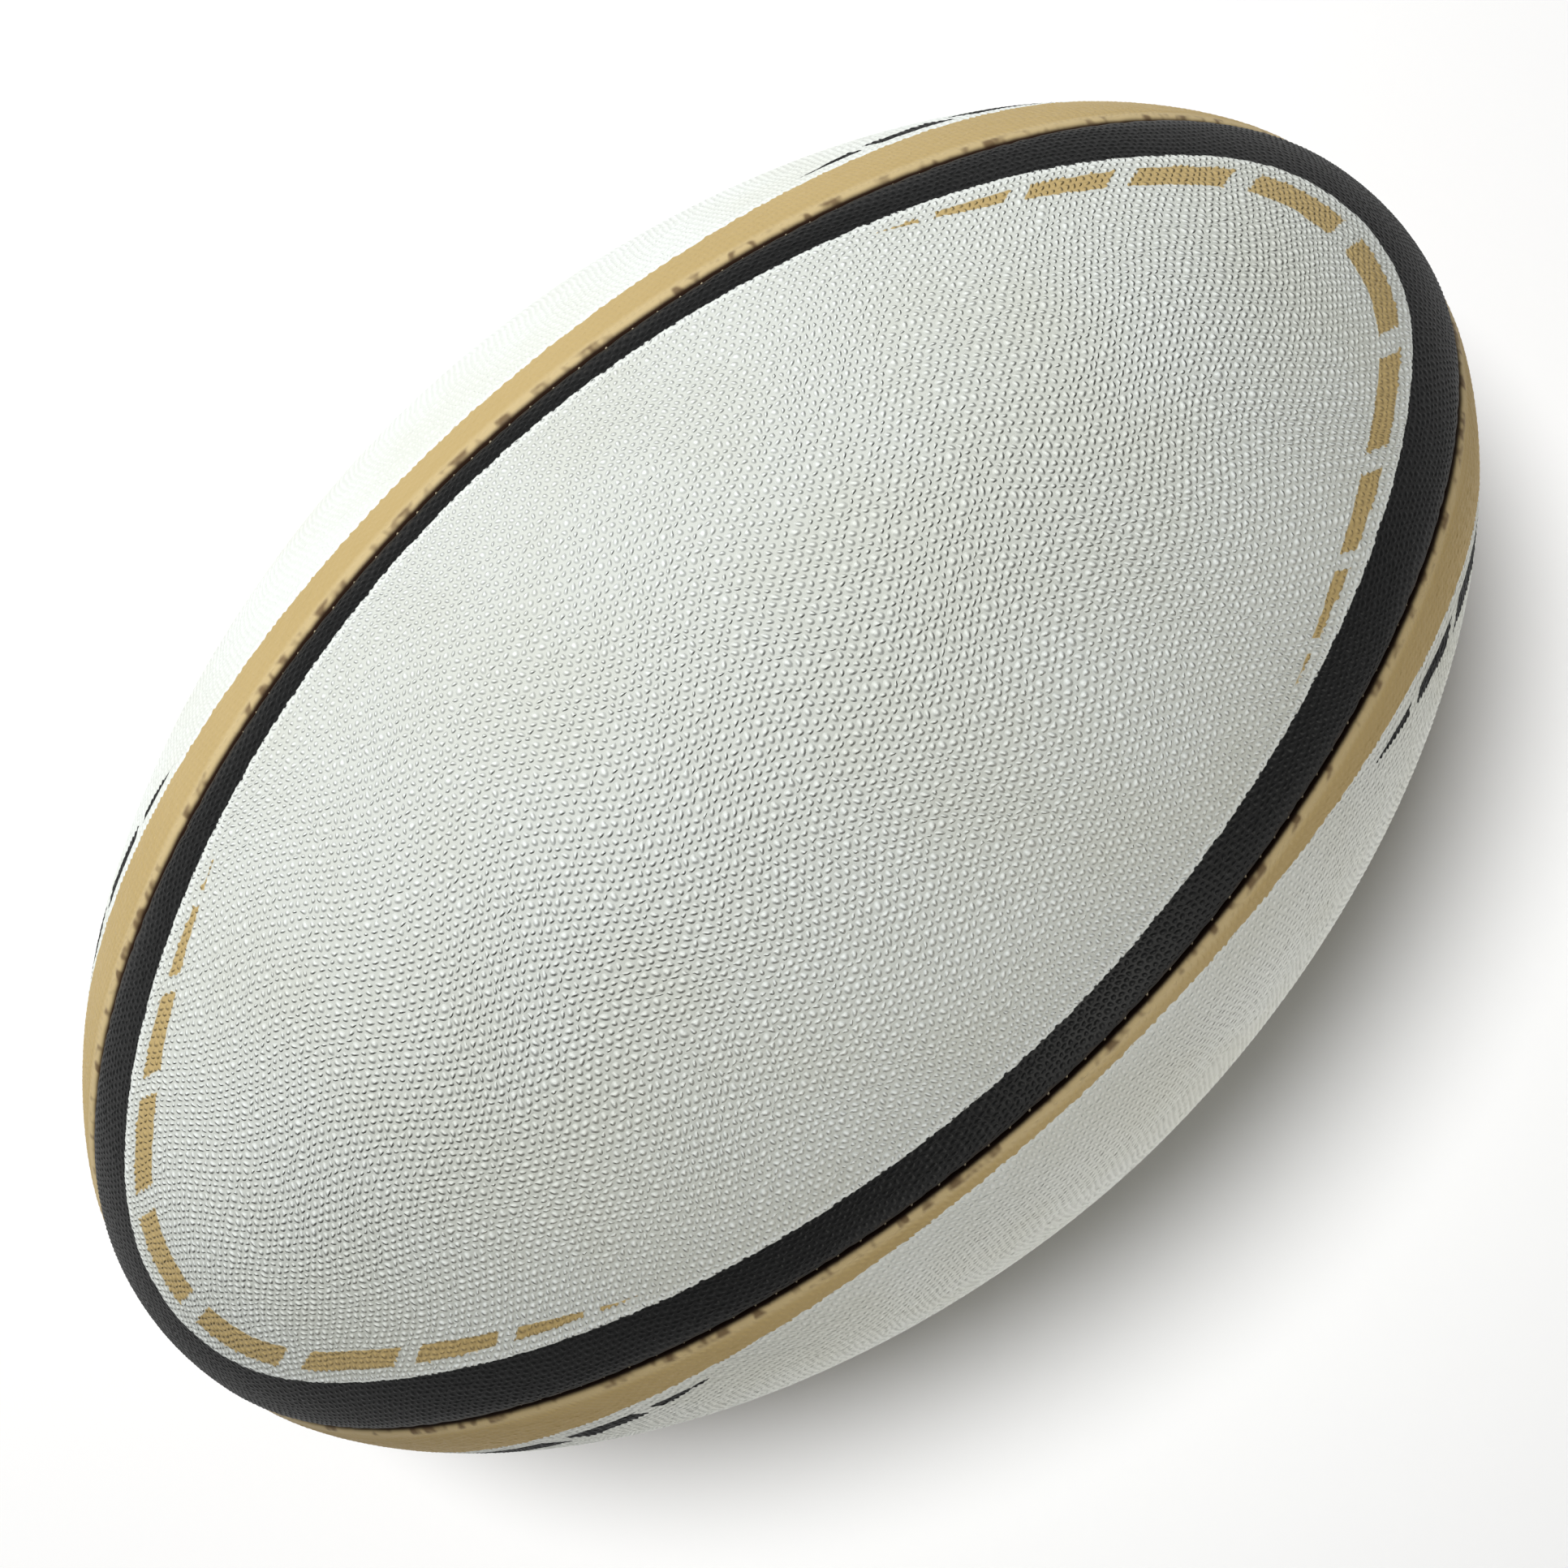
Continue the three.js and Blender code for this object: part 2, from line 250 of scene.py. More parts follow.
# The flat sheet of pimple cells, cut to the panel's outline, as a closed slab of height 1
def cutSheet(hasValve, rng):
    bm = bmesh.new()
    columns, rows = panel["cells"]
    pitch = panel["pitch"]
    spread = Matrix.Diagonal((columns * pitch / 2, rows * pitch / 2, 1, 1))
    stagger = Matrix(((1, -0.5, 0, 0), (0, panel["rowGap"], 0, 0), (0, 0, 1, 0), (0, 0, 0, 1)))
    turn = Matrix.Rotation(panel["rowTurn"], 4, "Z") @ stagger
    bmesh.ops.create_grid(bm, x_segments=columns, y_segments=rows, size=1, matrix=turn @ spread)
    lattice = bm.verts.layers.float_vector.new("lattice")
    unturn = turn.inverted()
    for v in bm.verts:
        v[lattice] = (unturn @ v.co) / pitch

    centres = np.array([f.calc_center_median() for f in bm.faces])
    inside = np.abs(centres[:, 1]) < sheetHalfWidth(centres[:, 0])
    if hasValve:
        inside &= np.hypot(centres[:, 0], centres[:, 1]) > panel["holeRadius"]
    outside = [f for f, keep in zip(bm.faces, inside) if not keep]
    bmesh.ops.delete(bm, geom=outside, context="FACES")
    for _ in range(3):  # cells that hang on by one side would be pulled out of shape
        loose = [f for f in bm.faces if sum(e.is_boundary for e in f.edges) > 2]
        bmesh.ops.delete(bm, geom=loose, context="FACES")

    shift = panel["jitter"] * pitch
    warp, length = panel["warp"], panel["warpLength"]
    for v in bm.verts:
        x, y = v.co.x / length, v.co.y / length
        v.co.x += rng.uniform(-shift, shift) + warp * rowBend(panel["alongWave"], y, x)
        v.co.y += rng.uniform(-shift, shift) + warp * rowBend(panel["acrossWave"], x, y)
    snapToOutline(bm, hasValve)
    border = {v for v in bm.verts if v.is_boundary}
    for _ in range(panel["borderEvenings"]):  # the border's points spread out evenly along it
        beside = {v: [e.other_vert(v).co for e in v.link_edges if e.is_boundary] for v in border}
        places = {v: sum(near, Vector()) / len(near) for v, near in beside.items()}
        for v, place in places.items():
            v.co = (v.co + place) / 2
        snapToOutline(bm, hasValve)
    near = {e.other_vert(v) for v in border for e in v.link_edges} - border
    nearer = near | ({e.other_vert(v) for v in near for e in v.link_edges} - border)
    for _ in range(panel["cellSmoothings"]):
        bmesh.ops.smooth_vert(bm, verts=sorted(nearer, key=lambda v: v.index), factor=0.5,
                              use_axis_x=True, use_axis_y=True)

    bmesh.ops.solidify(bm, geom=bm.faces[:], thickness=1)
    upright = [e for e in bm.edges if abs(e.verts[0].co.z - e.verts[1].co.z) > 0.5]
    bmesh.ops.subdivide_edges(bm, edges=upright, cuts=wallRows - 1)
    leastArea = panel["leastCell"] * pitch ** 2
    cells = [f for f in bm.faces if f.calc_center_median().z > -0.01 and f.calc_area() > leastArea]
    bmesh.ops.poke(bm, faces=cells, offset=1, center_mode="MEAN", use_relative_offset=False)
    for v in bm.verts:
        if v.co.z > 0.5:
            around = [e.other_vert(v) for e in v.link_edges]
            v[lattice] = sum((o[lattice] for o in around), Vector()) / len(around)
            v.co.z *= rng.uniform(panel["leastHeight"], 1)
    bmesh.ops.recalc_face_normals(bm, faces=bm.faces[:])
    return bm


# Border points move to the nearest place on the outline, and round the valve onto a circle.
def snapToOutline(bm, hasValve):
    alongs = arc[outlineR > panel["edge"] * math.sqrt(2)]
    halves = sheetHalfWidth(alongs)
    edge = np.concatenate((np.column_stack((alongs, halves)), np.column_stack((alongs, -halves))))
    for v in bm.verts:
        if not v.is_boundary:
            continue
        reach = math.hypot(v.co.x, v.co.y)
        if hasValve and reach < 2 * panel["holeRadius"]:
            v.co.x *= panel["holeRadius"] / reach
            v.co.y *= panel["holeRadius"] / reach
            continue
        nearest = edge[np.argmin((edge[:, 0] - v.co.x) ** 2 + (edge[:, 1] - v.co.y) ** 2)]
        v.co.x, v.co.y = nearest


def makePanel(name, azimuth):
    hasValve = name == "Front"
    rng = random.Random(panel["seed"] + azimuth)
    bm = cutSheet(hasValve, rng)
    mesh = bpy.data.meshes.new("panel" + name)
    bm.to_mesh(mesh)
    bm.free()

    flat = meshPoints(mesh)
    along, across, level = flat.T
    surface = bendSheet(along, across, 0)
    toPlus, toMinus = seamDistances(surface)
    nearestSeam = np.minimum(toPlus, toMinus)
    plusSeam = list(panelAzimuths).index(name)
    minusSeam = plusSeam - 1
    pull = np.where(toPlus < toMinus, stitchPull(along, plusSeam), stitchPull(along, minusSeam))
    dip = panel["seamDip"] * np.exp(-(nearestSeam / panel["dipWidth"]) ** 2)
    dip += panel["pullDepth"] * pull * np.exp(-(nearestSeam / panel["pullWidth"]) ** 2)
    calm = np.clip((nearestSeam - panel["edge"]) / panel["calmWidth"], panel["leastCalm"], 1)
    height = np.clip(level, 0, 1) * panel["pimpleHeight"] * calm
    points = bendSheet(along, across, panel["pimpleHeight"] - height + dip)

    # Level is 0 or more on the front, -1 on the back, and between them on the wall round the edge.
    back = level < -0.99
    points[back] = bendSheet(along, across, np.full_like(along, panel["thickness"]))[back]
    side = np.array([0, -1, 1]) / math.sqrt(2)
    otherSide = np.array([0, 1, 1]) / math.sqrt(2)
    backPlus, backMinus = seamDistances(points)
    lipReach = panel["lipReach"]
    squeeze = (lipReach - panel["lipInside"]) / (lipReach - panel["edge"])
    for distance, direction in ((backPlus, side), (backMinus, otherSide)):
        wanted = np.where(distance < lipReach, lipReach - (lipReach - distance) * squeeze, distance)
        points[back] += ((wanted - distance)[:, None] * direction)[back]

    wall = (level > -0.99) & (level < -0.01)
    row = np.clip(-level * wallRows, 0, wallRows)
    rowNumbers = np.arange(len(foldRows))
    offset = np.interp(row, rowNumbers, foldRows[:, 0])
    depth = np.interp(row, rowNumbers, foldRows[:, 1])
    pinch = pull * np.clip(1 - row / panel["pinchRows"], 0, 1)
    folded = bendSheet(along, across, depth + panel["pullDepth"] * panel["foldPull"] * pinch)
    foldedPlus, foldedMinus = seamDistances(folded)
    reach = panel["holdReach"]
    for start, now, direction in ((toPlus, foldedPlus, side), (toMinus, foldedMinus, otherSide)):
        hold = np.clip((panel["edge"] + reach - start) / reach, 0, 1)
        folded += ((offset + panel["foldPinch"] * pinch - now) * hold)[:, None] * direction
    points[wall] = folded[wall]
    if hasValve:
        aroundValve = wall & (np.hypot(along, across) < 2 * panel["holeRadius"])
        scale = np.interp(row, rowNumbers, holeRows[:, 0]) / panel["holeRadius"]
        rolled = bendSheet(along * scale, across * scale, np.interp(row, rowNumbers, holeRows[:, 1]))
        points[aroundValve] = rolled[aroundValve]

    if name == "Bottom":  # pressed flat where the ball rests
        points[:, 2] = np.minimum(points[:, 2], -lowestPoint)
    lattice = np.empty(len(mesh.vertices) * 3, np.float32)
    mesh.attributes["lattice"].data.foreach_get("vector", lattice)
    lattice = lattice.reshape(-1, 3)
    # painted shade: the colour darkens with depth down into the seam's fold, and is dark all over the back
    darkFrom, darkOver = panel["paintedFoldShadeDepths"]
    foldPaintedShade = np.where(wall, np.clip((depth - darkFrom) / darkOver, 0, 1), np.where(back, 1, 0))
    if hasValve:
        foldPaintedShade = np.where(aroundValve, 0, foldPaintedShade)
    plus, minus = seamDistances(points)
    addAttribute(mesh, "lattice", (lattice[:, 0], lattice[:, 1], foldPaintedShade))
    addAttribute(mesh, "sheet", (along / mm, across / mm, np.minimum(plus, minus) / mm))
    setPoints(mesh, turnedTo(points, azimuth))
    piece = addObject("panel" + name, mesh)
    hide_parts("skin_" + name.lower())
    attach(piece, "root")
    print("panel", name, sum(len(face.vertices) - 2 for face in mesh.polygons), "triangles")
    return piece


panels = {name: makePanel(name, azimuth) for name, azimuth in panelAzimuths.items()}

# Waxed two-ply thread down in each seam, with a stitch across the fold at every pull
thread = {
    "radius": 0.38 * mm,
    "depth": 2.45 * mm,
    "endRadius": 5.3 * mm,    # of the ball, where the thread stops
    "sides": 10,
    "segment": 0.55 * mm,
    "twistLength": 3.4 * mm,
    "waist": 0.6,             # least radius of the twisted pair, of its greatest
    "stitchRadius": 0.22 * mm,
    "stitchDepth": 1.6 * mm,
    "stitchLength": 2.2 * mm,
    "stitchSlant": 0.35,
    "stitchSides": 6,
    "tableSteps": 20000,
}


# Seam coordinates (along, across, height) to the ball
def bendToSeam(points, azimuth):
    turn = math.radians(azimuth)
    x, radius = outlineAt(points[:, 0], -points[:, 2])
    y = radius * math.sin(turn) + points[:, 1] * math.cos(turn)
    z = radius * math.cos(turn) - points[:, 1] * math.sin(turn)
    return np.column_stack((x, y, z))


def makeThread(seam):
    names = list(panelAzimuths)
    name, nextName = names[seam], names[(seam + 1) % 4]
    end = float(np.max(arc[outlineR > thread["endRadius"]]))
    bm = bmesh.new()
    lay = Matrix.Rotation(math.pi / 2, 4, "Y")
    bmesh.ops.create_cone(bm, cap_ends=True, segments=thread["sides"], radius1=thread["radius"],
                          radius2=thread["radius"], depth=2 * end, matrix=lay)
    longEdges = [e for e in bm.edges if abs(e.verts[0].co.x - e.verts[1].co.x) > end]
    bmesh.ops.subdivide_edges(bm, edges=longEdges, cuts=int(2 * end / thread["segment"]))
    strand = bm.verts.layers.float_vector.new("strand")
    for v in bm.verts:
        turn = math.atan2(v.co.z, v.co.y)
        size = thread["radius"] * (thread["waist"] + (1 - thread["waist"]) * abs(math.cos(turn)))
        v[strand] = (v.co.x / mm, turn, 0)
        turn += 2 * math.pi * v.co.x / thread["twistLength"]
        v.co.y = size * math.cos(turn)
        v.co.z = size * math.sin(turn) - thread["depth"]

    across = Matrix.Rotation(math.pi / 2, 4, "X")
    reach = int(stitchCount(end, seam))
    places = np.linspace(-end, end, thread["tableSteps"])
    counts = stitchCount(places, seam)
    for number in range(-reach + 1, reach):
        place = float(np.interp(number, counts, places))
        made = bmesh.ops.create_cone(bm, cap_ends=True, segments=thread["stitchSides"],
                                     radius1=thread["stitchRadius"], radius2=thread["stitchRadius"],
                                     depth=thread["stitchLength"], matrix=across)
        for v in made["verts"]:
            v[strand] = (v.co.y / mm, math.atan2(v.co.z, v.co.x), 1)
            v.co.x += place + thread["stitchSlant"] * v.co.y
            v.co.z -= thread["stitchDepth"]
    mesh = bpy.data.meshes.new("seamThread" + name + nextName)
    bm.to_mesh(mesh)
    bm.free()
    setPoints(mesh, bendToSeam(meshPoints(mesh), panelAzimuths[name] + 45))
    piece = addObject("seamThread" + name + nextName, mesh)
    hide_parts(f"seam_thread_{name.lower()}_{nextName.lower()}")
    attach(piece, "root")
    return piece


threads = [makeThread(seam) for seam in range(4)]
print("seam threads made")

# The valve's collar and core, turned about its axis: radius, and depth below the panel's surface
valve = {
    "collar": [(3.8, 3.6), (6.0, 3.6), (6.0, 0.62), (5.7, 0.34), (5.2, 0.26), (4.5, 0.36),
               (4.05, 0.62), (3.8, 1.0)],
    "core": [(0, 12), (2.0, 12), (2.0, 1.05), (1.75, 0.86), (1.2, 1.0), (0.7, 1.5), (0.5, 2.4),
             (0.42, 8), (0, 8)],
    "steps": 64,
    "bevel": 0.06 * mm,
    "sharpEdge": math.radians(35),
}


def turnPiece(name, profile, node, isRing):
    bm = bmesh.new()
    points = [bm.verts.new((radius * mm, 0, -depth * mm)) for radius, depth in profile]
    for first, second in zip(points, points[1:]):
        bm.edges.new((first, second))
    if isRing:
        bm.edges.new((points[-1], points[0]))
    bmesh.ops.spin(bm, geom=bm.verts[:] + bm.edges[:], axis=(0, 0, 1), cent=(0, 0, 0),
                   dvec=(0, 0, 0), angle=2 * math.pi, steps=valve["steps"], use_merge=True)
    bmesh.ops.remove_doubles(bm, verts=bm.verts[:], dist=0.001 * mm)
    bmesh.ops.recalc_face_normals(bm, faces=bm.faces[:])
    sharp = [e for e in bm.edges if e.calc_face_angle(0) > valve["sharpEdge"]]
    bmesh.ops.bevel(bm, geom=sharp, offset=valve["bevel"], offset_type="OFFSET", segments=3,
                    profile=0.5, affect="EDGES", material=-1, clamp_overlap=True)
    toFront = Matrix.Translation((0, -halfWidth, 0)) @ Matrix.Rotation(math.pi / 2, 4, "X")
    bmesh.ops.transform(bm, matrix=toFront, verts=bm.verts[:])
    mesh = bpy.data.meshes.new(name)
    bm.to_mesh(mesh)
    bm.free()
    setPoints(mesh, meshPoints(mesh))
    piece = addObject(name, mesh)
    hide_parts(node)
    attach(piece, "root")
    return piece


valveCollar = turnPiece("valveCollar", valve["collar"], "valve_collar", True)
valveCore = turnPiece("valveCore", valve["core"], "valve_core", False)
print("valve made")


# Short ways to wire up shader nodes
def feed(tree, socket, value):
    if isinstance(value, bpy.types.NodeSocket):
        tree.links.new(value, socket)
    else:
        socket.default_value = value


def calc(tree, operation, *values, clamp=False):
    node = tree.nodes.new("ShaderNodeMath")
    node.operation = operation
    node.use_clamp = clamp
    for socket, value in zip(node.inputs, values):
        feed(tree, socket, value)
    return node.outputs[0]


# 0 below low, 1 above high, smooth between
def rise(tree, value, low, high):
    node = tree.nodes.new("ShaderNodeMapRange")
    node.interpolation_type = "SMOOTHSTEP"
    for socket, given in zip(node.inputs[:3], (value, low, high)):
        feed(tree, socket, given)
    return node.outputs[0]


def blendColor(tree, share, first, second):
    node = tree.nodes.new("ShaderNodeMix")
    node.data_type = "RGBA"
    feed(tree, node.inputs[0], share)
    feed(tree, node.inputs[6], first)
    feed(tree, node.inputs[7], second)
    return node.outputs[2]


def noise(tree, vector, scale, detail=2.0, roughness=0.5):
    node = tree.nodes.new("ShaderNodeTexNoise")
    feed(tree, node.inputs["Vector"], vector)
    feed(tree, node.inputs["Scale"], scale)
    feed(tree, node.inputs["Detail"], detail)
    feed(tree, node.inputs["Roughness"], roughness)
    return node.outputs["Fac"]


def split(tree, vector):
    node = tree.nodes.new("ShaderNodeSeparateXYZ")
    feed(tree, node.inputs[0], vector)
    return node.outputs[0], node.outputs[1], node.outputs[2]


def join(tree, *values):
    node = tree.nodes.new("ShaderNodeCombineXYZ")
    for socket, value in zip(node.inputs, values):
        feed(tree, socket, value)
    return node.outputs[0]


def attribute(tree, name):
    node = tree.nodes.new("ShaderNodeAttribute")
    node.attribute_name = name
    return node.outputs["Vector"]


def objectPlace(tree):
    return tree.nodes.new("ShaderNodeTexCoord").outputs["Object"]


def newGroup(name, inputs, outputs):
    group = bpy.data.node_groups.new(name, "ShaderNodeTree")
    for label, default in inputs.items():
        kind = "NodeSocketVector" if default is None else "NodeSocketFloat"
        socket = group.interface.new_socket(name=label, in_out="INPUT", socket_type=kind)
        if default is not None:
            socket.default_value = default
    for label in outputs:
        group.interface.new_socket(name=label, in_out="OUTPUT", socket_type="NodeSocketFloat")
    given = group.nodes.new("NodeGroupInput").outputs
    results = group.nodes.new("NodeGroupOutput").inputs
    return group, given, results


def useGroup(tree, group, **values):
    node = tree.nodes.new("ShaderNodeGroup")
    node.node_tree = group
    for label, value in values.items():
        feed(tree, node.inputs[label], value)
    return node.outputs


def newMaterial(name):
    material = bpy.data.materials.new(name)
    material.use_nodes = True
    tree = material.node_tree
    return material, tree, tree.nodes["Principled BSDF"]


def bump(tree, shader, height, distance):
    node = tree.nodes.new("ShaderNodeBump")
    node.inputs["Distance"].default_value = distance
    node.inputs["Strength"].default_value = 1
    tree.links.new(height, node.inputs["Height"])
    tree.links.new(node.outputs[0], shader.inputs["Normal"])


# Grip: one round pimple in each cell of the lattice, each a little different
def makeGripGroup():
    group, given, results = newGroup(
        "gripPimples", {"Lattice": None, "Radius": 0.43, "Variation": 0.3, "Largest": 1.1, "Top": 0.18},
        ("Dome",))
    u, v, _ = split(group, given["Lattice"])
    chance = group.nodes.new("ShaderNodeTexWhiteNoise")
    chance.noise_dimensions = "2D"
    cell = join(group, calc(group, "FLOOR", u), calc(group, "FLOOR", v), 0.0)
    group.links.new(cell, chance.inputs["Vector"])
    du = calc(group, "SUBTRACT", calc(group, "FRACT", u), 0.5)
    dv = calc(group, "SUBTRACT", calc(group, "FRACT", v), 0.5)
    squares = calc(group, "ADD", calc(group, "MULTIPLY", du, du), calc(group, "MULTIPLY", dv, dv))
    skewed = calc(group, "SUBTRACT", squares, calc(group, "MULTIPLY", du, dv))  # rows are staggered
    away = calc(group, "SQRT", skewed)
    lessen = calc(group, "MULTIPLY", chance.outputs["Value"], given["Variation"])
    radius = calc(group, "MULTIPLY", given["Radius"], calc(group, "SUBTRACT", given["Largest"], lessen))
    dome = rise(group, away, radius, calc(group, "MULTIPLY", radius, given["Top"]))
    group.links.new(dome, results["Dome"])
    return group


mottleNoise = {
    "patches": {"detail": 3, "roughness": 0.55},
    "grain": {"detail": 2, "roughness": 0.6},
}


# Unevenness of moulded or printed rubber, and fine grain
def makeMottleGroup():
    group, given, results = newGroup(
        "rubberMottle", {"Place": None, "Patch Scale": 30.0, "Grain Scale": 1800.0}, ("Patches", "Grain"))
    patches = noise(group, given["Place"], given["Patch Scale"], **mottleNoise["patches"])
    grain = noise(group, given["Place"], given["Grain Scale"], **mottleNoise["grain"])
    group.links.new(patches, results["Patches"])
    group.links.new(grain, results["Grain"])
    return group


# How far inside the plain field a point is, in mm: it is bounded by margins along the seams and by caps
def makeFieldGroup():
    group, given, results = newGroup(
        "plainField", {"Seam Distance": 0.0, "End Distance": 0.0, "Margin": 8.0, "Growth": 6.0,
                       "Growth Reach": 100.0, "Cap": 126.0, "Rounding": 16.0}, ("Field",))
    share = calc(group, "DIVIDE", given["End Distance"], given["Growth Reach"])
    growth = calc(group, "MULTIPLY", calc(group, "MULTIPLY", share, share), given["Growth"])
    margin = calc(group, "ADD", given["Margin"], growth)
    fromSeam = calc(group, "SUBTRACT", given["Seam Distance"], margin)
    fromCap = calc(group, "SUBTRACT", given["Cap"], given["End Distance"])
    group.links.new(calc(group, "SMOOTH_MIN", fromSeam, fromCap, given["Rounding"]), results["Field"])
    return group


# Ink covers where Distance is above 0; its edge follows the pimples a little
def makeInkGroup():
    group, given, results = newGroup(
        "inkEdge", {"Distance": 0.0, "Dome": 0.0, "Ragged": 0.5, "Serration": 0.5, "Softness": 0.12},
        ("Mask",))
    serrated = calc(group, "MULTIPLY", calc(group, "SUBTRACT", given["Dome"], 0.5), given["Serration"])
    ragged = calc(group, "SUBTRACT", given["Ragged"], 0.5)
    reach = calc(group, "ADD", given["Distance"], calc(group, "ADD", serrated, ragged))
    low = calc(group, "MULTIPLY", given["Softness"], -1.0)
    group.links.new(rise(group, reach, low, given["Softness"]), results["Mask"])
    return group


gripGroup = makeGripGroup()
mottleGroup = makeMottleGroup()
fieldGroup = makeFieldGroup()
inkGroup = makeInkGroup()

finish = {
    "white": (0.865, 0.885, 0.86, 1),
    "whiteWarm": (0.815, 0.825, 0.77, 1),
    # painted shade in the hollows between the pimples
    "paintedValleyShade": (0.46, 0.465, 0.41, 1),
    "black": (0.0045, 0.0046, 0.0046, 1),
    "blackWorn": (0.011, 0.0115, 0.012, 1),
    "gold": (0.455, 0.328, 0.138, 1),
    "goldPale": (0.525, 0.388, 0.182, 1),
    # painted highlight on the gold's lip by the seam
    "goldPaintedHighlight": (0.62, 0.49, 0.28, 1),
    # painted shade deep in the seams' fold
    "foldPaintedShade": (0.03, 0.015, 0.009, 1),
}
# Both prints have a margin along the seams and dashes round the ends of the plain field, in mm.
# The last colour of each print is for the painted shade in streaks along its seams.
topPrint = {"margin": 8.9, "growth": 6.0, "cap": 132.0, "rounding": 16.0, "relief": 1.0,
            "serration": 0.4, "dashesPerRadian": 5.35, "paintedSeamShade": (0.016, 0.011, 0.008, 1)}
sidePrint = {"margin": 6.9, "growth": 7.5, "cap": 129.0, "rounding": 16.0, "relief": 0.45,
             "serration": 0.2, "dashesPerRadian": 4.7, "paintedSeamShade": (0.11, 0.06, 0.03, 1)}
plainField = {
    "lean": 2.4 / 66,            # how far the field's outline leans sideways, for each mm across
    "warmPatches": (0.35, 0.7),  # levels of the mottle between which white turns warm
    # share of the painted shade in the hollows between the pimples
    "valleyShade": 0.58,
    "paintedBrightRim": (1.5, 0.5),           # mm from the margin, between which the white turns brighter: a painted highlight along the margin's edge
    "paintedBrightRimShare": 0.5,
}
dashes = {
    "centre": 25.0,         # from the ball's middle to the point that the cuts fan out from, in mm
    "firstCount": 20.0,     # keeps the dashes' numbers above 0
    "gap": 0.19,            # of the room that one dash takes up
    "gapSharpness": 14.0,   # mm that the whole of that room counts as, for how ragged a cut is
    "edge": 3.0,            # mm inside the field
    "thickness": 5.4,       # mm at the tip
    "spread": 0.85,         # radians from the tip, where the dashes run out
    "serration": 0.3,
}
inkEdge = {"scale": 420.0, "detail": 3, "roughness": 0.6}  # noise that makes an ink's edge ragged
goldSeamHighlight = {"seam": (3.4, 1.8), "share": 0.6}              # painted highlight on the gold's lip, growing towards the seam, in mm from it
blackWear = (0.45, 0.75)                                   # levels of the grain that show as worn
# Painted shade in brown streaks along the seams' edges
paintedSeamShadeStreaks = {
    "stretch": (0.42, 0.25, 0.03),  # streaks for each mm along the ball, from the seam and across
    "noise": {"scale": 1.0, "detail": 1, "roughness": 0.5},
    "levels": (0.48, 0.7),
    "seam": (2.5, 1.5),             # mm from the seam where the streaks fade out, and are full
    "share": 0.8,
}
foldShade = (0.05, 0.6)             # shares of the fold's depth where its painted shade starts to darken the colour and is dark
surface = {
    "roughness": 0.47,
    "inkedGloss": 0.1,      # less rough by this where inked
    "grainRoughness": 0.14,
    "specular": 0.05,
    "inkFilling": 0.6,      # how much of the relief a margin's ink fills
    "grainRelief": 0.09,
    "reliefHeight": 0.38 * mm,
}


# Ink over part of a panel, from what startPanel gives
def ink(parts, distance, serration):
    return useGroup(parts["tree"], inkGroup, Distance=distance, Dome=parts["grip"]["Dome"],
                    Ragged=parts["ragged"], Serration=serration)["Mask"]


# Places on the sheet, grip, and the plain white field, which both kinds of panel have
def startPanel(name, settings):
    material, tree, shader = newMaterial(name)
    along, across, seamDistance = split(tree, attribute(tree, "sheet"))
    _, _, foldPaintedShade = split(tree, attribute(tree, "lattice"))
    x, _, _ = split(tree, objectPlace(tree))
    endDistance = calc(tree, "ABSOLUTE", calc(tree, "MULTIPLY", x, 1 / mm))
    grip = useGroup(tree, gripGroup, Lattice=attribute(tree, "lattice"))
    mottle = useGroup(tree, mottleGroup, Place=objectPlace(tree))
    lean = calc(tree, "MULTIPLY", across, plainField["lean"])
    field = useGroup(tree, fieldGroup, **{
        "Seam Distance": calc(tree, "ADD", seamDistance, lean), "End Distance": endDistance,
        "Margin": settings["margin"], "Growth": settings["growth"], "Cap": settings["cap"],
        "Rounding": settings["rounding"]})["Field"]
    ragged = noise(tree, objectPlace(tree), **inkEdge)
    warm = rise(tree, mottle["Patches"], *plainField["warmPatches"])
    white = blendColor(tree, warm, finish["white"], finish["whiteWarm"])
    # Painted shade: the white darkens in the hollows between the pimples, where the dome is low.
    hollow = calc(tree, "SUBTRACT", 1.0, grip["Dome"])
    paintedValleyShade = calc(tree, "MULTIPLY", hollow, plainField["valleyShade"] * settings["relief"])
    white = blendColor(tree, paintedValleyShade, white, finish["paintedValleyShade"])
    return {"material": material, "tree": tree, "shader": shader, "along": along, "across": across,
            "foldPaintedShade": foldPaintedShade, "end": endDistance, "seam": seamDistance, "grip": grip, "mottle": mottle,
            "field": field, "ragged": ragged, "white": white, "settings": settings}


